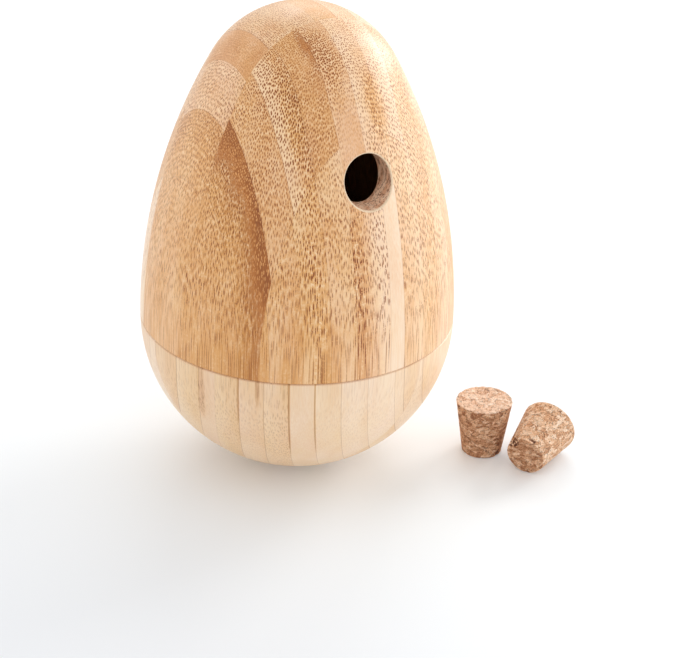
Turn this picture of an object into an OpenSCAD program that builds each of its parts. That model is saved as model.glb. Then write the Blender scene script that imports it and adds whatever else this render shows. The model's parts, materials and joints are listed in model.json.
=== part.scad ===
// Wobble treat dispenser: a hollow bamboo egg that opens at its widest line. A steel weight
// under a bamboo cover in the round base keeps it upright. Two opposite treat holes let dry
// treats fall out as it rocks, and two tapered cork stoppers close them.
// Millimetres. The origin is the middle of the small flat that the egg stands on, +Z runs up
// the egg's axis, and the treat holes lie along Y.

/* [Egg] */
// Widest diameter, at the line where the egg opens
egg_d = 100; // [94:0.5:112]
// Height from the standing flat to the tip
egg_h = 152.5; // [140:0.5:168]
// Radius of the rounded tip
tip_r = 32.5; // [29:0.5:37]
// Diameter of the flat that the egg stands on
foot_d = 8; // [4:0.5:16]
// Thickness of the turned wall
wall = 7; // [6:0.1:8.5]
// Width of the bevel along the rims
rim_bevel = 0.4; // [0.2:0.05:0.8]

/* [Treat holes] */
// Diameter of a treat hole
hole_d = 16; // [12:0.5:20]
// Height of the holes' common axis above the standing flat
hole_z = 110; // [96:0.5:118]

/* [Joint between the halves] */
// Height of the base's spigot above the line where the egg opens
spigot_h = 8; // [6:0.5:12]
// Wall that the socket leaves outside the spigot
socket_wall = 3.5; // [2.8:0.1:4]
// Radial clearance between the spigot and its socket
spigot_play = 0.25; // [0.15:0.05:0.4]
// Free height over the spigot when the egg is shut
socket_head_room = 0.5; // [0.3:0.1:1.5]

/* [Seal ring] */
// Height of the ring
ring_h = 2.4; // [1.8:0.1:3.4]
// Depth of the ring's groove in the spigot
groove_depth = 1.2; // [0.8:0.1:1.6]
// Height of the groove's lower side above the line where the egg opens
groove_z = 2.8; // [1.5:0.1:3.4]
// Clearance around the ring, in its groove and to the socket
ring_play = 0.1; // [0.05:0.01:0.12]

/* [Weight] */
// Diameter of the steel weight
weight_d = 56; // [46:0.5:60]
// Thickness of the steel weight
weight_t = 12; // [8:0.5:15]
// Height of the weight's pocket floor above the standing flat
pocket_z = 14; // [12:0.5:17]
// Thickness of the cover over the weight
cover_t = 4; // [3:0.1:6]
// Width of the ledge that carries the cover
cover_ledge = 4.5; // [3:0.1:6]
// Radial clearance around the weight and the cover, and over the weight
inlay_play = 0.3; // [0.15:0.05:0.5]
// Bevel on the weight and the cover
inlay_bevel = 0.6; // [0.3:0.1:1.2]

/* [Stoppers] */
// Length of a stopper
stopper_l = 18.5; // [14:0.5:26]
// How much smaller than the hole the narrow end is, in diameter
tip_lead = 3; // [1.5:0.1:5]
// How much larger than the hole the wide end is, in diameter
head_grip = 2.4; // [1:0.1:4]
// Bevel on a stopper's ends
stopper_bevel = 0.25; // [0.1:0.05:0.6]

/* [Where the stoppers lie] */
// Distance from the egg's widest line out to the standing stopper's axis
standing_reach = 11.9; // [10:0.5:40]
// Bearing of the standing stopper around the egg, from +X
standing_bearing = -31; // [-36:1:60]
// Distance from the egg's widest line out to the lying stopper's middle
lying_reach = 30.2; // [28:0.5:60]
// Bearing of the lying stopper around the egg, from +X
lying_bearing = -35.4; // [-60:0.2:-33]
// Direction in which the lying stopper's wide end points, from +X
lying_heading = 29.3; // [10:0.5:50]

/* [Hidden] */
$fn = 128;
eps = 0.01;

egg_r = egg_d / 2;
bore_r = egg_r - wall;

// The base is a ball cut by the standing flat, and its centre lies on the opening line.
belly_z = sqrt(pow(egg_r, 2) - pow(foot_d / 2, 2));

// The side is an arc tangent to the ball at its widest line and to the tip's ball. Its centre
// lies level with the opening line, side_back behind the axis.
tip_z = egg_h - tip_r;
tip_rise = tip_z - belly_z;
narrowing = egg_r - tip_r;
side_back = (pow(tip_rise, 2) - pow(narrowing, 2)) / (2 * narrowing);
side_r = egg_r + side_back;
centres_apart = side_r - tip_r;

socket_r = egg_r - socket_wall;
spigot_r = socket_r - spigot_play;
spigot_top = belly_z + spigot_h;
socket_top = spigot_top + socket_head_room;

ring_inner_r = spigot_r - groove_depth + ring_play;
ring_outer_r = socket_r - ring_play;
ring_z = belly_z + groove_z + ring_play;

pocket_r = weight_d / 2 + inlay_play;
ledge_z = pocket_z + weight_t + inlay_play;
cover_seat_r = pocket_r + cover_ledge;
cover_r = cover_seat_r - inlay_play;
floor_z = ledge_z + cover_t;

stopper_tip_r = (hole_d - tip_lead) / 2;
stopper_head_r = (hole_d + head_grip) / 2;
stopper_taper = atan2(stopper_head_r - stopper_tip_r, stopper_l - 2 * stopper_bevel);

// Height at which the side arc, moved inwards by inset, meets the tip's ball
function tip_joint_z(inset) = belly_z + (side_r - inset) * tip_rise / centres_apart;

// Half section of the egg above the opening line, moved inwards by inset. The tip's part is cut
// along the line through both arcs' centres, so it overlaps the side's part under the joint.
module upper_section(inset = 0) {
    intersection() {
        translate([-side_back, belly_z]) circle(r = side_r - inset);
        translate([0, belly_z]) square([egg_r, tip_joint_z(inset) - belly_z]);
    }
    translate([0, tip_z])
        intersection() {
            circle(r = tip_r - inset);
            polygon([[0, 0], [side_back, tip_rise], [0, tip_rise]]);
        }
}

// Half section of the ball under the opening line, from the height low_z up. Its top rises by
// crown towards the axis, to overlap what goes on from there.
module lower_section(inset = 0, low_z = 0, crown = 0) {
    intersection() {
        translate([0, belly_z]) circle(r = egg_r - inset);
        polygon([[0, low_z], [egg_r, low_z], [egg_r, belly_z], [egg_r - inset, belly_z],
                 [0, belly_z + crown]]);
    }
}

// Corner cut off a rim at the radius r and height z; up is 1 where the rim looks up
module rim_corner(r, z, up) {
    polygon([[r - rim_bevel, z], [r + rim_bevel, z], [r + rim_bevel, z - up * 2 * rim_bevel]]);
}

// Round plate with bevelled edges, standing on the plane z = 0
module bevelled_disc(r, t, bevel) {
    rotate_extrude()
        polygon([[0, 0], [r - bevel, 0], [r, bevel], [r, t - bevel], [r - bevel, t], [0, t]]);
}

// Tapered stopper standing on its narrow end
module stopper() {
    rotate_extrude()
        polygon([[0, 0], [stopper_tip_r - stopper_bevel, 0], [stopper_tip_r, stopper_bevel],
                 [stopper_head_r, stopper_l - stopper_bevel],
                 [stopper_head_r - stopper_bevel, stopper_l], [0, stopper_l]]);
}

// Upper half: turned shell with a socket for the spigot and both treat holes
module upper_shell() {
    color("#c99a5c")
    difference() {
        rotate_extrude()
            difference() {
                upper_section();
                upper_section(wall);
                translate([0, belly_z - eps]) square([socket_r, socket_top - belly_z + eps]);
                rim_corner(egg_r, belly_z, -1);
            }
        translate([0, 0, hole_z]) rotate([90, 0, 0]) cylinder(d = hole_d, h = 2 * egg_r, center = true);
    }
}

// Lower half: round bowl with the weight's pocket, the cover's ledge and the spigot
module base_cup() {
    color("#e2c79b")
    rotate_extrude()
        difference() {
            union() {
                lower_section();
                translate([0, belly_z - spigot_h]) square([spigot_r, 2 * spigot_h]);
            }
            lower_section(wall, floor_z, spigot_h / 2);
            translate([0, belly_z]) square([bore_r, spigot_h + eps]);
            translate([0, pocket_z]) square([pocket_r, weight_t + inlay_play + cover_t]);
            translate([0, ledge_z]) square([cover_seat_r, cover_t + eps]);
            translate([spigot_r - groove_depth, belly_z + groove_z])
                square([2 * groove_depth, ring_h + 2 * ring_play]);
            rim_corner(egg_r, belly_z, 1);
            rim_corner(spigot_r, spigot_top, 1);
        }
}

// Silicone ring in the spigot's groove, at its squeezed size, with rounded corners
module seal_ring() {
    corner_r = ring_h / 4;
    color("#e9e6dd")
    rotate_extrude()
        translate([ring_inner_r, ring_z]) {
            square([ring_outer_r - ring_inner_r - corner_r, ring_h]);
            translate([0, corner_r]) square([ring_outer_r - ring_inner_r, ring_h - 2 * corner_r]);
            for (z = [corner_r, ring_h - corner_r])
                translate([ring_outer_r - ring_inner_r - corner_r, z]) circle(r = corner_r);
        }
}

// Steel disc that keeps the egg upright
module ballast_weight() {
    color("#8d9196")
    translate([0, 0, pocket_z]) bevelled_disc(weight_d / 2, weight_t, inlay_bevel);
}

// Bamboo disc on the ledge over the weight
module weight_cover() {
    color("#d8b987")
    translate([0, 0, ledge_z]) bevelled_disc(cover_r, cover_t, inlay_bevel);
}

// Stopper taken off and stood on its narrow end beside the egg
module stopper_standing() {
    color("#c48f6c")
    rotate([0, 0, standing_bearing]) translate([egg_r + standing_reach, 0, 0]) stopper();
}

// Stopper taken off and laid on its side, so that its tapered side rests along the surface
module stopper_lying() {
    color("#b9835f")
    rotate([0, 0, lying_bearing]) translate([egg_r + lying_reach, 0, 0])
    rotate([0, 0, lying_heading - lying_bearing])
    translate([-stopper_l / 2, 0, 0])
    rotate([0, -stopper_taper, 0])
    translate([-stopper_bevel, 0, stopper_tip_r])
    rotate([0, 90, 0]) stopper();
}

upper_shell();
base_cup();
seal_ring();
ballast_weight();
weight_cover();
stopper_standing();
stopper_lying();
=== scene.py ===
"""Looks of a wobble treat dispenser: laminated bamboo, cork, steel and silicone."""
import json
import math
from types import SimpleNamespace

import bpy
import numpy as np
from mathutils import Matrix, Vector, noise


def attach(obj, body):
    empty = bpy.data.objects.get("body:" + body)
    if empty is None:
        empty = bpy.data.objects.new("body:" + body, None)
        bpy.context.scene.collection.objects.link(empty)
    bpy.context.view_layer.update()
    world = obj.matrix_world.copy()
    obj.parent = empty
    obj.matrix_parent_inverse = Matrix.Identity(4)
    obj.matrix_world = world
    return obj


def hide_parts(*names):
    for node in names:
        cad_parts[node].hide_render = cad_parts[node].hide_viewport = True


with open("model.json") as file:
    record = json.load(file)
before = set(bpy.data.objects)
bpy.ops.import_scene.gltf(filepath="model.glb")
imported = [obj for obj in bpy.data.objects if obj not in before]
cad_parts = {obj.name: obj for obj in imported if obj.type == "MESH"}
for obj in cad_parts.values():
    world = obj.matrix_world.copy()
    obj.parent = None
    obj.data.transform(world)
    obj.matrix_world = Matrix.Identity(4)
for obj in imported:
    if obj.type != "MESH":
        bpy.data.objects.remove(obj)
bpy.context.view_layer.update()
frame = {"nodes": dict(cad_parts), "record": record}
nodes = frame["nodes"]
treat_hole = next(mount for mount in frame["record"]["mounts"] if mount["name"] == "treat_hole_front")
MM = 0.001
# noise_vector takes its shift from this seed, and without one from the clock
noise.seed_set(7)

# Camera: where it stands around the egg, and what it looks at, in metres and degrees
PHOTO_WIDTH = 679
CAMERA_BEARING = -32.3
CAMERA_ELEVATION = 27.54
CAMERA_ROLL = 2.01
CAMERA_DISTANCE = 0.7706
CAMERA_TARGET = Vector((0.0116, -0.0074, 0.0434))
FOCAL_PIXELS = 2400
SENSOR_MM = 36.0

# The part's own sizes, in millimetres
EGG_R = 50.0
EGG_H = 152.5
TIP_R = 32.5
FOOT_R = 4.0
WALL = 7.0
RIM_BEVEL = 0.4
SOCKET_R = 46.5
SOCKET_DEEP = 8.5
HOLE_R = treat_hole["dims"]["r_mm"]
HOLE_Z = treat_hole["pos_m"][2] / MM
STOPPER_L = 18.5
STOPPER_LOW_R = 6.5
STOPPER_HIGH_R = 9.2
STOPPER_BEVEL = 0.25

# What follows from them: heights of the opening line and of the middle of the tip's ball, radius
# of the side's arc, and height of the socket's top
BELLY_Z = math.sqrt(EGG_R ** 2 - FOOT_R ** 2)
TIP_Z = EGG_H - TIP_R
SIDE_R = EGG_R + ((TIP_Z - BELLY_Z) ** 2 - (EGG_R - TIP_R) ** 2) / (2 * (EGG_R - TIP_R))
SOCKET_TOP = BELLY_Z + SOCKET_DEEP

# Where the stoppers lie: bearings and a heading in degrees, reaches from the egg's axis
STANDING_BEARING = -31.0
STANDING_REACH = EGG_R + 11.9
LYING_BEARING = -35.4
LYING_REACH = EGG_R + 30.2
LYING_HEADING = 29.3

# How far the treat holes' outer rims are rounded over, which the part leaves sharp
HOLE_ROUND = 0.6

# Relief of the cork: how deep its gaps and pits are, and how uneven the rest is
CORK_GAP_DEEP = 0.2
CORK_PIT_DEEP = 0.7
CORK_UNEVEN = 0.05
# Chips out of the stoppers: x, y and z in the stopper's own frame, radius and depth
STANDING_CHIPS = (
    (5.9, -7.1, 18.0, 1.9, 1.2),
    (5.0, -4.4, 1.0, 1.5, 0.4),
    (-8.4, -3.2, 17.2, 1.1, 0.4),
)
LYING_CHIPS = (
    (-4.5, 4.5, 0.4, 2.4, 1.0),
    (-5.9, -2.0, 1.4, 1.0, 0.4),
    (8.8, -2.4, 17.4, 1.0, 0.5),
)

# Laminated bamboo: strips stand upright, their long sides along the rows' depth
STRIP_WIDE = 7.8
STRIP_DEEP = 24.9
GLUE_WIDE = 0.14
# Gap between fibre bundles in the palest and in the darkest strip, in millimetres
BUNDLE_GAP = (0.72, 0.4)
# In gaps from a bundle's middle: where its edge fades, and where the pale specks come up
BUNDLE_EDGE = (0.22, 0.4)
SPECK_EDGE = (0.42, 0.62)
# Painted shade in the groove where the egg opens: how far off it begins and ends to fade, in
# millimetres, and how dark it is
GROOVE_SHADE_EDGE = (0.1, 0.45)
GROOVE_SHADE = 0.28
# Between these heights the surface turns from running along the bundles to cutting them across
ALONG_Z, ACROSS_Z = 85.0, 125.0
# Between these heights the bundles gain their full strength, and their breaks
FAINT_Z, STRONG_Z = 58.0, 80.0
WHOLE_Z, BROKEN_Z = 56.0, 68.0

# Steps around each turned piece and each hole, and the degrees above which an edge stays sharp
SHELL_STEPS = 256
STOPPER_STEPS = 168
HOLE_STEPS = 128
SHELL_SHARP = 40
STOPPER_SHARP = 38

# Material slots of the shell and of a stopper
OUTSIDE, CHAMBER, HOLE_RIM, HOLE_WALL = range(4)
WIDE_END, SIDE, NARROW_END, CHIP = range(4)

# Colours of the wood from pale to dark
ROSY = ((0.0, "fbe5d0"), (0.25, "f3ccaa"), (0.5, "e2a871"), (0.8, "bf783e"), (1.0, "985022"))
GOLDEN = ((0.0, "fbe2c0"), (0.25, "f4cb98"), (0.5, "dfa25a"), (0.8, "b66e2a"), (1.0, "8c4a16"))
PALE_ROSY = ((0.0, "f8dfc6"), (0.4, "ebc39b"), (1.0, "bb865a"))
PALE_GOLDEN = ((0.0, "f8e1bf"), (0.4, "ebc48e"), (1.0, "c08e52"))
# Dark tones of the painted shade inside the chamber
CHAMBER_SHADE_TONES = ((0.3, "7a5535"), (0.7, "a1744a"))
# Pale tones of the painted highlight on the treat holes' rounded rims
RIM_HIGHLIGHT_TONES = ((0.35, "e2c4a0"), (0.65, "f0d9bc"))
BORE_TONES = ((0.35, "e6b08a"), (0.65, "fbd8b8"))
SPECK = "ffdfb4"
BUNDLE_DARK = "99632f"
BUNDLE_PALE = "ffbd78"
# Darkens the glue lines, and paints the shade in the groove where the egg opens
GLUE_AND_SHADE_DARK = "a87848"
TORN_DARK = "80462a"

# Colours of the cork from dark to pale. The shaded dark cork paints shade on the standing stopper's
# side and on both narrow ends, and the lit tan cork paints light on the lying stopper's side
CORK_SHADED_DARK = ((0.3, "7a4328"), (0.44, "b67c54"), (0.58, "dfab82"), (0.74, "f8d8ba"))
CORK_LIT_TAN = ((0.3, "a2683f"), (0.42, "d9a177"), (0.55, "f3c9a3"), (0.74, "fde6d0"))
CORK_END = ((0.3, "b27e5b"), (0.4, "dfb190"), (0.57, "f1cfb3"), (0.76, "fbe8d7"))
# Dark tones of the painted shade in the chips' hollows
CORK_CHIP_SHADE = ((0.3, "3f2013"), (0.5, "6b3c24"), (0.75, "a87454"))
CORK_GAP = "512814"

# Other colours
STEEL_TONES = ((0.3, "8f9296"), (0.7, "b4b7ba"))
SILICONE_TONES = ((0.3, "dedcd4"), (0.7, "eceae4"))
FLOOR_PALE = "e3e7ea"
# Grey of the painted shade towards the front left of the floor
FLOOR_SHADE_GREY = "dee1e5"

# Strips of the upper half that stand out: left, right, near and far edge in the strips' frame,
# tones at left and right, gold and dots
UPPER_STRIPS = (
    (-56.0, -40.3, -34.4, -9.5, (0.4, 0.54), 0.7, 0.95),
    (-40.3, -32.2, -34.4, -9.5, (0.56, 0.92), 0.9, 0.95),
    (-32.2, -24.7, -34.4, -9.5, (0.48, 0.5), 0.4, 0.85),
    (-24.7, -17.4, -34.4, -9.5, (0.3, 0.54), 0.6, 1.2),
    (-17.4, -9.3, -34.4, -9.5, (0.52, 0.54), 0.5, 0.75),
    (-9.3, -1.3, -42.0, -9.5, (0.42, 0.42), 0.2, 0.95),
    (-1.3, 6.5, -42.0, -9.5, (0.26, 0.34), 0.4, 0.95),
    # This strip lies under the key light's highlight: its pale tone is partly the strip's own and
    # partly a painted highlight
    (6.5, 14.3, -34.4, -9.5, (0.26, 0.22), 0.3, 0.85),
    (14.3, 22.1, -34.4, -9.5, (0.36, 0.4), 0.5, 1.0),
    (22.1, 30.0, -34.4, -9.5, (0.36, 0.32), 0.5, 0.9),
    (-56.0, -41.6, -9.5, 15.4, (0.42, 0.44), 0.6, 0.7),
    (-41.6, -33.8, -9.5, 15.4, (0.44, 0.58), 0.75, 0.75),
    (-33.8, -26.4, -9.5, 15.4, (0.38, 0.38), 0.25, 0.85),
    (-26.4, -18.6, -9.5, 15.4, (0.56, 0.52), 0.1, 0.4),
    (-18.6, -11.6, -9.5, 15.4, (0.36, 0.36), 0.35, 0.9),
    (-11.6, -3.6, -9.5, 15.4, (0.32, 0.3), 0.4, 0.85),
    (-41.6, -33.8, -59.3, -34.4, (0.52, 0.56), 0.8, 0.8),
    (-33.8, -25.6, -59.3, -34.4, (0.46, 0.48), 0.6, 0.9),
    (-25.6, -17.8, -59.3, -34.4, (0.43, 0.47), 0.8, 0.95),
    (-17.8, -10.0, -59.3, -34.4, (0.42, 0.36), 0.6, 0.9),
    (-10.0, 1.7, -59.3, -42.0, (0.5, 0.22), 0.2, 1.2),
    (1.7, 7.0, -59.3, -40.0, (0.14, 0.12), 0.4, 0.05),
    (7.0, 15.4, -59.3, -34.4, (0.36, 0.3), 0.45, 0.9),
    (15.4, 23.2, -59.3, -34.4, (0.36, 0.4), 0.5, 1.05),
    (23.2, 31.0, -59.3, -34.4, (0.34, 0.3), 0.4, 0.9),
)
# Soft spots of the upper half: x and y, reach in x and in y, and what they add to tone, gold
# and dots
UPPER_SPOTS = (
    (-19.5, -25.0, 3.4, 8.0, 0.08, 0.7, 0.1),
    (-21.5, -17.0, 6.0, 9.0, 0.0, 0.0, 0.6),
    (-9.9, -15.0, 2.4, 9.0, 0.2, 0.2, 0.2),
    (-6.2, -19.0, 5.5, 9.0, 0.2, 0.1, 0.8),
    (-5.0, -36.0, 6.5, 9.5, 0.0, -0.4, -0.75),
    (-21.5, -43.0, 2.8, 9.0, 0.03, 0.0, 0.7),
    (-9.0, -48.5, 3.5, 6.0, 0.08, 0.0, 0.5),
    (5.8, -30.5, 4.5, 6.5, 0.14, 0.5, 0.0),
)
# Strips of the base that stand out, as above. Towards larger x, the side lit by the softboxes on the
# right,
# they grow paler: partly by their own tone and partly as painted light
BASE_STRIPS = (
    (-20.2, -12.4, -52.9, -28.0, (0.26, 0.42), 0.6, 0.45),
    (-12.4, -4.6, -52.9, -28.0, (0.24, 0.34), 0.3, 0.3),
    (-4.6, 3.2, -52.9, -28.0, (0.24, 0.36), 0.4, 0.5),
    (3.2, 11.0, -52.9, -28.0, (0.2, 0.26), 0.3, 0.06),
    (11.0, 18.8, -52.9, -28.0, (0.16, 0.2), 0.4, 0.15),
    (18.8, 26.6, -52.9, -28.0, (0.12, 0.18), 0.2, 0.22),
    (26.6, 34.4, -52.9, -28.0, (0.06, 0.12), 0.2, 0.22),
)
# Brown flecks and two dark joints of the base, as above
BASE_SPOTS = (
    (-24.6, -42.0, 1.6, 4.0, 0.32, 0.0, 0.6),
    (-12.6, -47.4, 0.5, 3.4, 0.4, 0.0, 0.1),
    (-6.6, -49.5, 1.0, 1.0, 0.35, 0.0, 0.4),
    (3.2, -47.0, 0.45, 9.0, 0.6, 0.0, 0.0),
    (11.0, -46.0, 0.4, 9.0, 0.5, 0.0, 0.0),
)


def srgb(code):
    """Linear colour of a web colour such as c99a5c."""
    parts = [int(code[i:i + 2], 16) / 255 for i in (0, 2, 4)]
    return tuple(c / 12.92 if c <= 0.04045 else ((c + 0.055) / 1.055) ** 2.4 for c in parts) + (1.0,)


class Value:
    """What a node of a look gives. Numbers can be added, subtracted, multiplied and divided."""

    def __init__(self, look, socket):
        self.look = look
        self.socket = socket

    def __add__(self, other):
        return self.look.math("ADD", self, other)

    def __sub__(self, other):
        return self.look.math("SUBTRACT", self, other)

    def __rsub__(self, other):
        return self.look.math("SUBTRACT", other, self)

    def __mul__(self, other):
        return self.look.math("MULTIPLY", self, other)

    def __truediv__(self, other):
        return self.look.math("DIVIDE", self, other)

    def __rtruediv__(self, other):
        return self.look.math("DIVIDE", other, self)


class Look:
    """A material's node tree. What goes into a node is a Value, a number or a tuple."""

    def __init__(self, name):
        self.material = bpy.data.materials.new(name)
        self.material.use_nodes = True
        self.tree = self.material.node_tree
        self.shader = self.tree.nodes["Principled BSDF"]
        place = Value(self, self.node("ShaderNodeTexCoord").outputs["Object"])
        self.place = self.vector("SCALE", place, scale=1 / MM)

    def node(self, kind, **settings):
        made = self.tree.nodes.new(kind)
        for key, value in settings.items():
            setattr(made, key, value)
        return made

    def feed(self, socket, value):
        if isinstance(value, Value):
            self.tree.links.new(value.socket, socket)
        else:
            socket.default_value = value

    def fed(self, kind, values, **settings):
        """What a new node gives when values go into its first inputs."""
        made = self.node(kind, **settings)
        for socket, value in zip(made.inputs, values):
            self.feed(socket, value)
        return [Value(self, socket) for socket in made.outputs]

    def math(self, operation, *values, clamp=False):
        return self.fed("ShaderNodeMath", values, operation=operation, use_clamp=clamp)[0]

    def vector(self, operation, *values, scale=None):
        made = self.node("ShaderNodeVectorMath", operation=operation)
        for socket, value in zip(made.inputs, values):
            self.feed(socket, value)
        if scale is not None:
            self.feed(made.inputs["Scale"], scale)
        gives = "Value" if operation in ("DOT_PRODUCT", "LENGTH") else "Vector"
        return Value(self, made.outputs[gives])

    def split(self, vector):
        return self.fed("ShaderNodeSeparateXYZ", (vector,))

    def join(self, x, y, z):
        return self.fed("ShaderNodeCombineXYZ", (x, y, z))[0]

    def stretched(self, x, y, z):
        """Place with each axis scaled, so that what is drawn there is longer where it is under 1."""
        return self.vector("MULTIPLY", self.place, (x, y, z))

    def mix(self, share, a, b, mode="MIX"):
        """Colour a turned into colour b by share."""
        made = self.node("ShaderNodeMix", data_type="RGBA", blend_type=mode)
        for index, value in ((0, share), (6, a), (7, b)):
            self.feed(made.inputs[index], value)
        return Value(self, made.outputs[2])

    def blend(self, share, a, b):
        """Number a turned into number b by share."""
        made = self.node("ShaderNodeMix", data_type="FLOAT")
        for index, value in ((0, share), (2, a), (3, b)):
            self.feed(made.inputs[index], value)
        return Value(self, made.outputs[0])

    def smooth(self, value, low, high, to_low=0.0, to_high=1.0):
        """A soft step from to_low below low to to_high above high."""
        values = (value, low, high, to_low, to_high)
        return self.fed("ShaderNodeMapRange", values, interpolation_type="SMOOTHSTEP")[0]

    def noise(self, vector, scale, detail=2.0, rough=0.5, distort=0.0):
        """Noise as a number and as a colour."""
        made = self.node("ShaderNodeTexNoise")
        self.feed(made.inputs["Vector"], vector)
        settings = {"Scale": scale, "Detail": detail, "Roughness": rough, "Distortion": distort}
        for key, value in settings.items():
            self.feed(made.inputs[key], value)
        return Value(self, made.outputs[0]), Value(self, made.outputs[1])

    def wander(self, vector, scale, detail, reach):
        """A vector that wanders about zero."""
        color = self.noise(vector, scale, detail)[1]
        return self.vector("SCALE", self.vector("SUBTRACT", color, (0.5, 0.5, 0.5)), scale=reach)

    def cells(self, vector, scale, dimensions="3D", feature="F1", random=1.0):
        """Distance within random cells, and each cell's random colour."""
        made = self.node("ShaderNodeTexVoronoi", voronoi_dimensions=dimensions, feature=feature)
        self.feed(made.inputs["Vector"], vector)
        self.feed(made.inputs["Scale"], scale)
        self.feed(made.inputs["Randomness"], random)
        return Value(self, made.outputs[0]), Value(self, made.outputs[1])

    def chance(self, vector):
        """Three random numbers for a place."""
        made = self.node("ShaderNodeTexWhiteNoise", noise_dimensions="3D")
        self.feed(made.inputs["Vector"], vector)
        return self.split(Value(self, made.outputs["Color"]))

    def ramp(self, value, stops):
        made = self.node("ShaderNodeValToRGB")
        self.feed(made.inputs[0], value)
        elements = made.color_ramp.elements
        while len(elements) < len(stops):
            elements.new(0.5)
        for element, (place, code) in zip(elements, stops):
            element.position = place
            element.color = srgb(code)
        return Value(self, made.outputs[0])

    def bump(self, height, strength, distance):
        """Relief of the whole surface; distance is in metres."""
        made = self.node("ShaderNodeBump")
        made.inputs["Strength"].default_value = strength
        made.inputs["Distance"].default_value = distance
        self.feed(made.inputs["Height"], height)
        self.feed(self.shader.inputs["Normal"], Value(self, made.outputs[0]))

    def finish(self, color, roughness, **fixed):
        self.feed(self.shader.inputs["Base Color"], color)
        self.feed(self.shader.inputs["Roughness"], roughness)
        for key, value in fixed.items():
            self.shader.inputs[key.replace("_", " ")].default_value = value
        return self.material


def strip_grid(look, x, y, joint_at, row_at, stagger, seed):
    """Which strip a place is in, how far across it, and how far off its edges are."""
    row_place = (y - row_at) / STRIP_DEEP
    row = look.math("FLOOR", row_place)
    shift = look.math("FLOORED_MODULO", row, 2.0) * stagger
    column_place = (x - joint_at - shift) / STRIP_WIDE
    column = look.math("FLOOR", column_place)
    return SimpleNamespace(
        row=row,
        column=column,
        across=look.math("FRACT", column_place),
        pick=look.chance(look.join(column, row, seed)),
        edge_x=look.math("PINGPONG", column_place, 0.5) * STRIP_WIDE,
        edge_y=look.math("PINGPONG", row_place, 0.5) * STRIP_DEEP,
    )


def random_strips(look, strip, tone, gold, dots):
    """Give each strip a random tone, hue and strength of its bundles, within the ranges.

    Tone runs darker across a strip, towards the culm's skin, where the bundles are finer too.
    """
    lean = (strip.across - 0.5) * look.blend(strip.pick[1], -0.05, 0.2)
    plain = look.blend(strip.pick[0], *tone)
    strip.tone = plain + lean
    strip.gap = look.blend(plain, *BUNDLE_GAP)
    strip.gold = look.blend(strip.pick[1], *gold)
    strip.dots = look.blend(strip.pick[2], *dots)


def named_strips(look, strip, x, y, rows):
    """Replace what is random in single strips."""
    pale_gap, dark_gap = BUNDLE_GAP
    for left, right, near, far, (tone_left, tone_right), gold, dots in rows:
        edge_x = (right - left) / 2 - look.math("ABSOLUTE", x - (left + right) / 2)
        edge_y = (far - near) / 2 - look.math("ABSOLUTE", y - (near + far) / 2)
        inside = look.math("GREATER_THAN", look.math("MINIMUM", edge_x, edge_y), 0.0)
        gap = pale_gap + (dark_gap - pale_gap) * (tone_left + tone_right) / 2
        strip.tone = look.blend(inside, strip.tone, look.smooth(x, left, right, tone_left, tone_right))
        strip.gap = look.blend(inside, strip.gap, gap)
        strip.gold = look.blend(inside, strip.gold, gold)
        strip.dots = look.blend(inside, strip.dots, dots)
        strip.edge_x = look.blend(inside, strip.edge_x, edge_x)
        strip.edge_y = look.blend(inside, strip.edge_y, edge_y)


def soft_spots(look, strip, flat, rows):
    """Add to tone, hue and bundles around single places."""
    for x, y, reach_x, reach_y, tone, gold, dots in rows:
        off = look.vector("SUBTRACT", flat, (x, y, 0.0))
        off = look.vector("MULTIPLY", off, (1 / reach_x, 1 / reach_y, 0.0))
        share = look.smooth(look.vector("LENGTH", off), 0.3, 1.0, 1.0, 0.0)
        strip.tone = strip.tone + share * tone
        strip.gold = strip.gold + share * gold
        strip.dots = strip.dots + share * dots


def drift(look, strip, streak):
    """Let tone and hue drift slowly along the fibres, and tone follow the fine streaks."""
    slow = look.split(look.noise(look.stretched(0.14, 0.14, 0.035), scale=1.0)[1])
    strip.tone = strip.tone + (slow[0] - 0.5) * 0.35
    strip.tone = look.math("ADD", strip.tone, (streak - 0.5) * 0.4, clamp=True)
    strip.gold = look.math("ADD", strip.gold, (slow[1] - 0.5) * 1.2, clamp=True)


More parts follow.
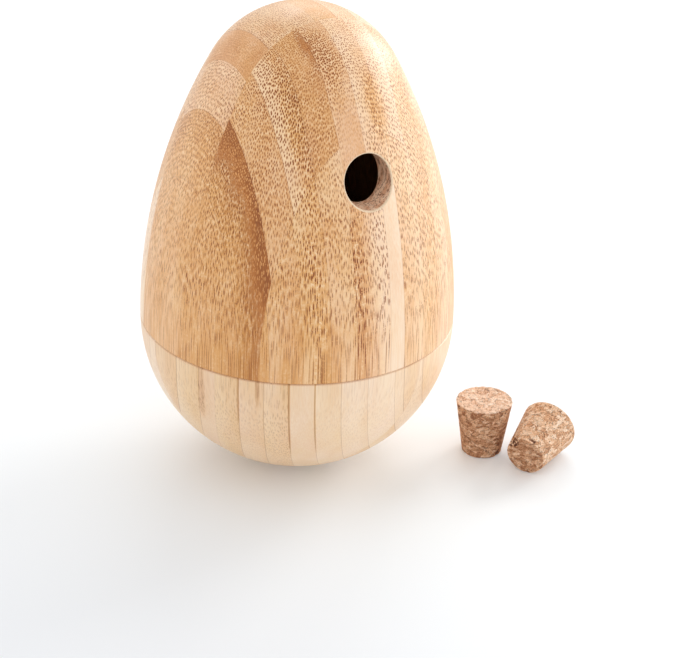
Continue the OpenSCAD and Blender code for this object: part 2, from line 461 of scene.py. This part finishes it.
def bundles(look, strip, y, z, skin):
    """How strongly the fibre bundles show, and the pale specks between them.

    They are dots where the surface cuts them across, and dashes and lines where it runs along.
    """
    # Bundles stand a little closer towards the skin, wander, and don't go on in the next strip
    squeezed = (strip.across + strip.across * strip.across * 0.15) * (STRIP_WIDE * 0.9)
    place = look.vector("SCALE", look.join(squeezed, y, 0.0), scale=1.0 / strip.gap)
    wander = look.wander(look.stretched(0.1, 0.1, 0.04), scale=1.0, detail=1.0, reach=1.3)
    place = look.vector("ADD", wander, place)
    own_shift = look.vector("SCALE", look.join(strip.column, strip.row, 0.0), scale=13.7)
    place = look.vector("ADD", place, own_shift)

    # Each bundle has its own size and its own breaks along the fibres
    along = look.smooth(z, ALONG_Z, ACROSS_Z, 1.0, 0.0)
    distance, color = look.cells(place, 1.0, "2D", random=look.blend(along, 0.62, 0.88))
    which = look.split(color)
    distance = distance + which[0] * 0.1
    own_line = look.join(which[1] * 57.0, which[2] * 31.0, z * 1.1)
    breaks, more_breaks = look.noise(own_line, scale=1.0, detail=1.0)
    gaps = look.smooth(look.split(more_breaks)[1], 0.42, 0.62, 0.25, 1.0)

    patch = look.noise(look.place, scale=0.2, rough=0.6)[0]
    show = strip.dots * look.smooth(patch, 0.3, 0.62, 0.6, 1.05) * look.blend(along, 1.0, 0.85)
    show = show * look.smooth(z, FAINT_Z, STRONG_Z, 0.65, 1.0)

    broken = look.smooth(breaks, look.blend(along, 0.22, 0.3), look.blend(along, 0.44, 0.5))
    half_broken = look.blend(broken, 0.5, 1.0)
    broken = look.blend(along * look.smooth(z, WHOLE_Z, BROKEN_Z), half_broken, broken)
    bundle = look.smooth(distance, *BUNDLE_EDGE, 1.0, 0.0)
    bundle = look.math("MULTIPLY", bundle, show * broken, clamp=True)

    speck = look.smooth(distance, *SPECK_EDGE) * gaps
    fleshy = look.blend(skin, look.blend(along, 1.0, 0.85), 0.0)
    speck = look.math("MULTIPLY", speck, show * fleshy, clamp=True)
    return bundle, speck


def glue_lines_and_groove_shade(look, strip, flat, z, glue):
    """How strongly the glue lines show, and the painted shade in the groove where the egg opens."""
    edge = look.math("MINIMUM", strip.edge_x, strip.edge_y * 2.5)
    line = look.smooth(edge, 0.0, GLUE_WIDE, 1.0, 0.0) * look.blend(strip.pick[1], *glue)
    # Painted shade along the groove where the egg opens, on the outside only
    groove_shade = look.smooth(look.math("ABSOLUTE", z - BELLY_Z), *GROOVE_SHADE_EDGE, GROOVE_SHADE, 0.0)
    outside = look.smooth(look.vector("LENGTH", flat), EGG_R - 1.2, EGG_R - 0.7)
    return look.math("MAXIMUM", line, groove_shade * outside)


def bamboo(name, turn, joint_at, row_at, stagger, tone, gold, dots, glue, seed, ramps, named, spots):
    """Bamboo strips glued side by side in rows, their fibres along the egg's axis.

    turn is the rows' bearing in degrees; joint_at and row_at place one strip's corner; stagger
    shifts every other row; tone, gold, dots and glue are ranges: from pale to dark, from rosy to
    golden, and how strongly the bundles and the glue lines show; ramps holds the rosy and the
    golden colours; named and spots are tables such as UPPER_STRIPS and UPPER_SPOTS.
    """
    look = Look(name)
    across = (math.cos(math.radians(turn)), math.sin(math.radians(turn)), 0)
    deep = (-across[1], across[0], 0)
    x = look.vector("DOT_PRODUCT", look.place, across)
    y = look.vector("DOT_PRODUCT", look.place, deep)
    z = look.split(look.place)[2]
    flat = look.join(x, y, 0.0)
    streak = look.noise(look.stretched(1.0, 1.0, 0.025), scale=2.6, detail=3.0, rough=0.6)[0]

    strip = strip_grid(look, x, y, joint_at, row_at, stagger, seed)
    random_strips(look, strip, tone, gold, dots)
    named_strips(look, strip, x, y, named)
    soft_spots(look, strip, flat, spots)
    drift(look, strip, streak)
    skin = look.smooth(strip.tone, 0.7, 0.86)
    bundle, speck = bundles(look, strip, y, z, skin)
    line = glue_lines_and_groove_shade(look, strip, flat, z, glue)

    ground = look.mix(strip.gold, look.ramp(strip.tone, ramps[0]), look.ramp(strip.tone, ramps[1]))
    color = look.mix(speck, ground, look.mix(0.75, ground, srgb(SPECK)))
    darker = look.mix(1.0, ground, srgb(BUNDLE_DARK), "MULTIPLY")
    paler = look.mix(0.8, ground, srgb(BUNDLE_PALE))
    color = look.mix(bundle, color, look.mix(skin, darker, paler))
    # Glue lines darken the colour, and painted shade darkens the groove where the egg opens
    color = look.mix(line, color, look.mix(1.0, color, srgb(GLUE_AND_SHADE_DARK), "MULTIPLY"))
    look.bump(streak * 0.3 - bundle, strength=0.12, distance=0.12 * MM)
    roughness = bundle * 0.1 + (streak * 0.08 + 0.36)
    satin = {"Specular_IOR_Level": 0.35, "Coat_Weight": 0.25, "Coat_Roughness": 0.35}
    return look.finish(color, roughness, **satin)


def chamber_shade_bamboo():
    """Bamboo inside the chamber, darker as painted shade, with streaks along the fibres."""
    look = Look("bamboo_chamber")
    streak = look.noise(look.stretched(1.0, 1.0, 0.03), scale=1.2, detail=3.0, rough=0.6)[0]
    look.bump(streak, strength=0.3, distance=0.2 * MM)
    return look.finish(look.ramp(streak, CHAMBER_SHADE_TONES), roughness=0.8)


def rim_highlight_bamboo():
    """Painted highlight: a pale ring on the rounded rim around a treat hole, with faint streaks of
    grain.
    """
    look = Look("bamboo_hole_rim")
    grain = look.noise(look.stretched(1.0, 1.0, 0.3), scale=3.0)[0]
    return look.finish(look.ramp(grain, RIM_HIGHLIGHT_TONES), roughness=0.5)


def bore_bamboo():
    """Drilled wall of a treat hole: bundles torn open along the fibres, dark in the wood."""
    look = Look("bamboo_hole_bore")
    wood = look.noise(look.stretched(1.0, 1.0, 0.2), scale=0.5)[0]
    torn = look.noise(look.stretched(1.0, 1.0, 0.16), scale=1.7, detail=3.0, rough=0.65)[0]
    dark = look.smooth(torn, 0.38, 0.52, 0.8, 0.0)
    color = look.mix(dark, look.ramp(wood, BORE_TONES), srgb(TORN_DARK))
    look.bump(dark, strength=0.4, distance=-0.2 * MM)
    return look.finish(color, roughness=0.6)


def cork(name, stops):
    """Cork grains pressed together: curled light and dark strands, dark gaps and small pits."""
    look = Look(name)
    grain_size = 0.62
    warp = look.wander(look.place, scale=0.7, detail=3.0, reach=1.6)
    place = look.vector("ADD", look.stretched(1.0, 1.0, 1.7), warp)
    grain = look.split(look.cells(place, grain_size)[1])[0]
    edge = look.cells(place, grain_size, feature="DISTANCE_TO_EDGE")[0]
    flake_place = look.stretched(1.0, 1.0, 1.6)
    flake = look.noise(flake_place, scale=1.1, detail=3.0, rough=0.65, distort=2.2)[0]
    fine = look.noise(look.place, scale=3.4, rough=0.6)[0]
    tone = grain * 0.26 + flake * 0.78 + (fine - 0.5) * 0.6

    strand = look.math("ABSOLUTE", look.noise(place, scale=0.8, rough=0.6, distort=1.0)[0] - 0.5)
    curl = look.smooth(strand, 0.0, 0.022, 1.0, 0.0) * look.smooth(fine, 0.42, 0.56)
    open_here = look.smooth(look.noise(look.place, scale=0.9)[0], 0.45, 0.6)
    crack = look.smooth(edge, 0.0, 0.06, 1.0, 0.0) * open_here
    pit = look.smooth(look.noise(look.place, scale=1.5, detail=1.0)[0], 0.68, 0.74)
    dark = look.math("MAXIMUM", look.math("MAXIMUM", crack, pit), curl)
    color = look.mix(dark * 0.8, look.ramp(tone, stops), srgb(CORK_GAP))
    look.bump(flake * 0.8 - dark, strength=0.7, distance=0.3 * MM)
    return look.finish(color, roughness=0.85)


def steel():
    """Faced steel with turning rings."""
    look = Look("turned_steel")
    radius = look.vector("LENGTH", look.stretched(1.0, 1.0, 0.0))
    rings = look.noise(look.join(radius, 0.0, 0.0), scale=6.0, detail=3.0)[0]
    look.bump(rings, strength=0.2, distance=0.05 * MM)
    return look.finish(look.ramp(rings, STEEL_TONES), rings * 0.2 + 0.25, Metallic=1.0)


def silicone():
    """Milky silicone."""
    look = Look("silicone")
    mottle = look.noise(look.place, scale=0.3)[0]
    return look.finish(look.ramp(mottle, SILICONE_TONES), roughness=0.5)


def acrylic():
    """Pale floor with painted shade that greys it towards the front left."""
    look = Look("floor_acrylic")
    front_left = look.vector("DOT_PRODUCT", look.place, (-0.85, -0.53, 0.0))
    mottle = look.noise(look.place, scale=0.01)[0] * 20.0
    shade_fade = look.smooth(front_left + mottle, 20.0, 170.0)
    color = look.mix(shade_fade, srgb(FLOOR_PALE), srgb(FLOOR_SHADE_GREY))
    glow = {"Emission_Color": (1, 1, 1, 1), "Emission_Strength": 0.1}
    return look.finish(color, roughness=0.6, **glow)


def added(name, data):
    """New object in the scene."""
    made = bpy.data.objects.new(name, data)
    bpy.context.scene.collection.objects.link(made)
    return made


def painted(piece, material):
    piece.data.materials.clear()
    piece.data.materials.append(material)


def new_piece(name, mesh, node, body, materials, slots):
    """Smooth object that stands for a CAD node; slots gives each face's material."""
    made = added(name, mesh)
    mesh.materials.clear()
    for material in materials:
        mesh.materials.append(material)
    for polygon, slot in zip(mesh.polygons, slots):
        polygon.material_index = slot
        polygon.use_smooth = True
    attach(made, body)
    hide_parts(node)


def egg_r(z, inset=0.0):
    """Radius of the egg's side at height z, in millimetres, moved inwards by inset."""
    if z < BELLY_Z:
        return math.sqrt(max((EGG_R - inset) ** 2 - (BELLY_Z - z) ** 2, 0))
    tip_from = BELLY_Z + (SIDE_R - inset) * (TIP_Z - BELLY_Z) / (SIDE_R - TIP_R)
    if z < tip_from:
        return EGG_R - SIDE_R + math.sqrt((SIDE_R - inset) ** 2 - (z - BELLY_Z) ** 2)
    return math.sqrt(max((TIP_R - inset) ** 2 - (z - TIP_Z) ** 2, 0))


def lathe(points, steps):
    """Corners and faces of a profile turned about Z; points are (radius, z)."""
    corners = []
    rings = []
    for r, z in points:
        if r < 1e-6:
            rings.append([len(corners)] * steps)
            corners.append((0, 0, z))
            continue
        rings.append(list(range(len(corners), len(corners) + steps)))
        turns = [math.tau * k / steps for k in range(steps)]
        corners += [(r * math.cos(turn), r * math.sin(turn), z) for turn in turns]
    faces = []
    for a, b in zip(rings, rings[1:]):
        for k in range(steps):
            corner = (a[k], a[(k + 1) % steps], b[(k + 1) % steps], b[k])
            faces.append(tuple(dict.fromkeys(corner)))
    return corners, faces


def stopper_profile():
    """Half section of a stopper on its narrow end, fine enough to carry the cork's relief."""
    low, high, bevel = STOPPER_LOW_R, STOPPER_HIGH_R, STOPPER_BEVEL
    side = [(low + (high - low) * (z - bevel) / (STOPPER_L - 2 * bevel), z)
            for z in np.linspace(bevel, STOPPER_L - bevel, 64)]
    bottom = [(r, 0.0) for r in np.linspace(0.0, low - bevel, 24)]
    top = [(r, STOPPER_L) for r in np.linspace(high - bevel, 0.0, 32)]
    return bottom + side + top


def cork_sink(place, shift, chips):
    """How far cork lies under its plain surface: gaps between grains, pits, relief and chips."""
    at = place + shift
    bent = at + noise.noise_vector(at * 0.5) * 0.9
    near = noise.voronoi(Vector((bent.x, bent.y, bent.z * 1.5)) * 0.5)[0]
    open_here = max(0.0, min(1.0, noise.noise(at * 0.35) * 2.5 + 0.55))
    gap = max(0.0, 1 - (near[1] - near[0]) / 0.16) * open_here
    pit = max(0.0, noise.noise(at * 1.3) - 0.42)
    uneven = noise.fractal(at * 1.6, 1.0, 2.0, 3) + 0.4
    sink = CORK_GAP_DEEP * gap + CORK_PIT_DEEP * pit + CORK_UNEVEN * uneven
    for x, y, z, radius, depth in chips:
        far = (place - Vector((x, y, z))).length / radius + 0.35 * noise.noise(at * 0.9)
        sink = max(sink, depth * max(0.0, 1 - far * far))
    return max(sink, 0.0)


def cork_slot(place, chips):
    """Which of a stopper's materials a face has: wide end, side, narrow end or chip."""
    ragged = 0.6 + 1.1 * noise.noise(place * 1.3)
    if any((place - Vector((x, y, z))).length < ragged * radius for x, y, z, radius, depth in chips):
        return CHIP
    if place.z < STOPPER_BEVEL:
        return NARROW_END
    return SIDE if place.z < STOPPER_L - STOPPER_BEVEL else WIDE_END


def stopper(name, node, place, chips, materials, seed):
    """Cork stopper with sunken gaps between its grains, pits and chipped rims.

    place takes it from its own frame, standing on its narrow end, to the part's, in millimetres;
    materials are its wide end's, its side's, its narrow end's and its chips'.
    """
    corners, faces = lathe(stopper_profile(), STOPPER_STEPS)
    mesh = bpy.data.meshes.new(name)
    mesh.from_pydata(corners, [], faces)
    mesh.update()
    normals = [v.normal.copy() for v in mesh.vertices]
    shift = Vector((seed, seed * 0.7, seed * 0.3))
    for vertex, normal in zip(mesh.vertices, normals):
        vertex.co -= normal * cork_sink(vertex.co, shift, chips)
    slots = [cork_slot(polygon.center, chips) for polygon in mesh.polygons]
    mesh.transform(Matrix.Scale(MM, 4) @ place)
    new_piece(name, mesh, node, "base", materials, slots)
    mesh.set_sharp_from_angle(angle=math.radians(STOPPER_SHARP))


def turned_by(degrees, axis="Z"):
    return Matrix.Rotation(math.radians(degrees), 4, axis)


def standing_place():
    """Where the standing stopper is, in millimetres."""
    return turned_by(STANDING_BEARING) @ Matrix.Translation((STANDING_REACH, 0, 0))


def lying_place():
    """Where the lying stopper is, in millimetres: its tapered side rests on the floor."""
    taper = math.atan2(STOPPER_HIGH_R - STOPPER_LOW_R, STOPPER_L - 2 * STOPPER_BEVEL)
    out = turned_by(LYING_BEARING) @ Matrix.Translation((LYING_REACH, 0, 0))
    headed = turned_by(LYING_HEADING - LYING_BEARING) @ Matrix.Translation((-STOPPER_L / 2, 0, 0))
    tilted = Matrix.Rotation(-taper, 4, "Y") @ Matrix.Translation((-STOPPER_BEVEL, 0, STOPPER_LOW_R))
    return out @ headed @ tilted @ turned_by(90, "Y")


def hole_cutter(side):
    """Cutter for the treat hole on one side (-1 or 1) that rounds the hole's outer rim over."""
    steps = HOLE_STEPS
    outer_y = 60.0
    inner_y = 20.0
    wide = HOLE_R + HOLE_ROUND

    def ring(r, depth=None, y=None):
        """Ring of radius r that follows the egg's side at depth, or lies flat at y."""
        points = []
        for turn in [math.tau * k / steps for k in range(steps)]:
            x, z = r * math.cos(turn), HOLE_Z + r * math.sin(turn)
            out = math.sqrt(egg_r(z) ** 2 - x * x) - depth if y is None else y
            points.append((x, side * out, z))
        return points

    rounding = [ring(wide - HOLE_ROUND * math.sin(a), HOLE_ROUND * (1 - math.cos(a)))
                for a in np.linspace(0, math.pi / 2, 8)]
    rings = [ring(wide + HOLE_ROUND, y=outer_y), ring(wide + HOLE_ROUND, -HOLE_ROUND),
             *rounding, ring(HOLE_R, y=inner_y)]
    corners = [point for each in rings for point in each]
    faces = [tuple(range(steps)), tuple(range(len(corners) - 1, len(corners) - steps - 1, -1))]
    for start in range(0, len(corners) - steps, steps):
        deeper = start + steps
        for k in range(steps):
            after = (k + 1) % steps
            faces.append((start + k, deeper + k, deeper + after, start + after))
    if side > 0:
        faces = [face[::-1] for face in faces]
    mesh = bpy.data.meshes.new("cutter")
    mesh.from_pydata(corners, [], faces)
    return added("cutter", mesh)


def shell_profile():
    """Section of the upper half from the chamber's top, down to the rim and up to the egg's tip."""
    # From here up the heights are those of even steps along the tip's arc
    tip_from_z = TIP_Z + 8.0
    inner_tip_from = 0.5
    turns = np.linspace(math.asin((tip_from_z - TIP_Z) / TIP_R), math.pi / 2, 48)
    inner_turns = np.linspace(math.pi / 2, inner_tip_from, 24)
    fine = TIP_Z + TIP_R * np.sin(turns)
    inner_fine = TIP_Z + (TIP_R - WALL) * np.sin(inner_turns)
    side = [(egg_r(z), z) for z in np.linspace(BELLY_Z + RIM_BEVEL, tip_from_z, 76)]
    tip = [(egg_r(z), z) for z in fine]
    inner_tip = [(egg_r(z, WALL), z) for z in inner_fine]
    inner_side = [(egg_r(z, WALL), z) for z in np.linspace(inner_fine[-1], SOCKET_TOP, 40)]
    socket = [(SOCKET_R, SOCKET_TOP), (SOCKET_R, BELLY_Z), (EGG_R - RIM_BEVEL, BELLY_Z)]
    return inner_tip + inner_side[1:] + socket + side + tip[1:]


def drilled(mesh):
    """Copy of the turned mesh with both treat holes cut."""
    turned = added("shell_turned", mesh)
    cutters = [hole_cutter(-1), hole_cutter(1)]
    for cutter in cutters:
        cut = turned.modifiers.new("hole", "BOOLEAN")
        cut.operation = "DIFFERENCE"
        cut.solver = "EXACT"
        cut.object = cutter
    made = bpy.data.meshes.new_from_object(turned.evaluated_get(bpy.context.evaluated_depsgraph_get()))
    made.name = "shell"
    for each in (turned, *cutters):
        bpy.data.objects.remove(each)
    return made


def shell_slot(at):
    """Which of the shell's materials a face has: outside, chamber, hole's rim or hole's wall."""
    if math.hypot(at.x, at.y) < egg_r(at.z, WALL) + 0.2:
        return CHAMBER
    from_hole = math.hypot(at.x, at.z - HOLE_Z)
    if from_hole < HOLE_R + 0.01:
        return HOLE_WALL
    return HOLE_RIM if from_hole < HOLE_R + 0.8 * HOLE_ROUND else OUTSIDE


def shell(materials):
    """The upper half turned as in the part, with the treat holes' outer rims rounded over."""
    corners, faces = lathe(shell_profile(), SHELL_STEPS)
    mesh = bpy.data.meshes.new("shell_turned")
    mesh.from_pydata(corners, [], faces)
    mesh = drilled(mesh)
    slots = [shell_slot(polygon.center) for polygon in mesh.polygons]
    mesh.transform(Matrix.Scale(MM, 4))
    new_piece("shell", mesh, "upper_shell", "shell", materials, slots)
    mesh.set_sharp_from_angle(angle=math.radians(SHELL_SHARP))


def dispenser():
    """Every piece in its materials."""
    upper = bamboo(
        "bamboo_upper", turn=2.3, joint_at=5.2, row_at=-9.5, stagger=1.3,
        tone=(0.15, 0.5), gold=(0.2, 0.8), dots=(0.55, 0.9), glue=(0.1, 0.6), seed=3.0,
        ramps=(ROSY, GOLDEN), named=UPPER_STRIPS, spots=UPPER_SPOTS)
    base = bamboo(
        "bamboo_base", turn=-36.9, joint_at=3.2, row_at=-28.0, stagger=2.6,
        tone=(0.12, 0.4), gold=(0.0, 0.6), dots=(0.1, 0.4), glue=(0.3, 0.8), seed=11.0,
        ramps=(PALE_ROSY, PALE_GOLDEN), named=BASE_STRIPS, spots=BASE_SPOTS)
    shell((upper, chamber_shade_bamboo(), rim_highlight_bamboo(), bore_bamboo()))
    painted(nodes["base_cup"], base)
    painted(nodes["weight_cover"], base)
    painted(nodes["ballast_weight"], steel())
    painted(nodes["seal_ring"], silicone())

    # Painted shade and light: the shaded dark cork for the standing stopper's side and both narrow
    # ends, the lit tan cork for the lying stopper's side
    dark = cork("cork_dark", CORK_SHADED_DARK)
    tan = cork("cork_tan", CORK_LIT_TAN)
    end = cork("cork_end", CORK_END)
    # Painted shade in the chips' hollows
    chip = cork("cork_deep", CORK_CHIP_SHADE)
    stopper("cork_standing", "stopper_standing", standing_place(), STANDING_CHIPS,
            (end, dark, dark, chip), seed=3.0)
    stopper("cork_lying", "stopper_lying", lying_place(), LYING_CHIPS,
            (end, tan, dark, chip), seed=31.0)


def camera():
    """Camera at the photograph's angle."""
    data = bpy.data.cameras.new("camera")
    data.sensor_width = SENSOR_MM
    data.lens = FOCAL_PIXELS * SENSOR_MM / PHOTO_WIDTH
    bearing = math.radians(CAMERA_BEARING)
    elevation = math.radians(CAMERA_ELEVATION)
    level = math.cos(elevation)
    ahead = Vector((-math.sin(bearing) * level, math.cos(bearing) * level, -math.sin(elevation)))
    right = Vector((math.cos(bearing), math.sin(bearing), 0))
    aimed = Matrix((right, right.cross(ahead), -ahead)).transposed()
    rolled = aimed @ Matrix.Rotation(math.radians(CAMERA_ROLL), 3, "Z")
    made = added("camera", data)
    made.matrix_world = Matrix.Translation(CAMERA_TARGET - CAMERA_DISTANCE * ahead) @ rolled.to_4x4()
    bpy.context.scene.camera = made


def softbox(name, place, size, power, color=(1, 1, 1), aim=(0, 0, 0.06)):
    """Area light at place, in metres, turned towards aim."""
    data = bpy.data.lights.new(name, "AREA")
    data.shape = "RECTANGLE"
    data.size, data.size_y = size
    data.energy = power
    data.color = color
    made = added(name, data)
    made.location = place
    made.rotation_euler = (Vector(aim) - Vector(place)).to_track_quat("-Z", "Y").to_euler()


def studio():
    """Pale floor, soft light all round and a large softbox on the right. Sizes are in metres."""
    reach = 3.0
    corners = [(-reach, -reach, 0), (reach, -reach, 0), (reach, reach, 0), (-reach, reach, 0)]
    mesh = bpy.data.meshes.new("floor")
    mesh.from_pydata(corners, [], [(0, 1, 2, 3)])
    floor = added("floor", mesh)
    painted(floor, acrylic())

    world = bpy.data.worlds.new("world")
    world.use_nodes = True
    sky = world.node_tree.nodes["Background"]
    sky.inputs["Color"].default_value = (1, 1, 1, 1)
    sky.inputs["Strength"].default_value = 0.93
    bpy.context.scene.world = world

    softbox("key_right", (1.15, 0.25, 0.44), (0.5, 0.45), 6.8, color=(1.0, 0.99, 0.98))
    softbox("right_fill", (0.9, -0.5, 0.2), (0.6, 0.4), 1.8)
    softbox("back_panel", (0.6, 0.8, 0.7), (0.7, 0.5), 2.5)
    softbox("left_rim", (-0.7, 0.85, 0.35), (0.5, 0.5), 0.9)
    view = bpy.context.scene.view_settings
    view.view_transform = "Standard"
    view.look = "None"


dispenser()
camera()
studio()
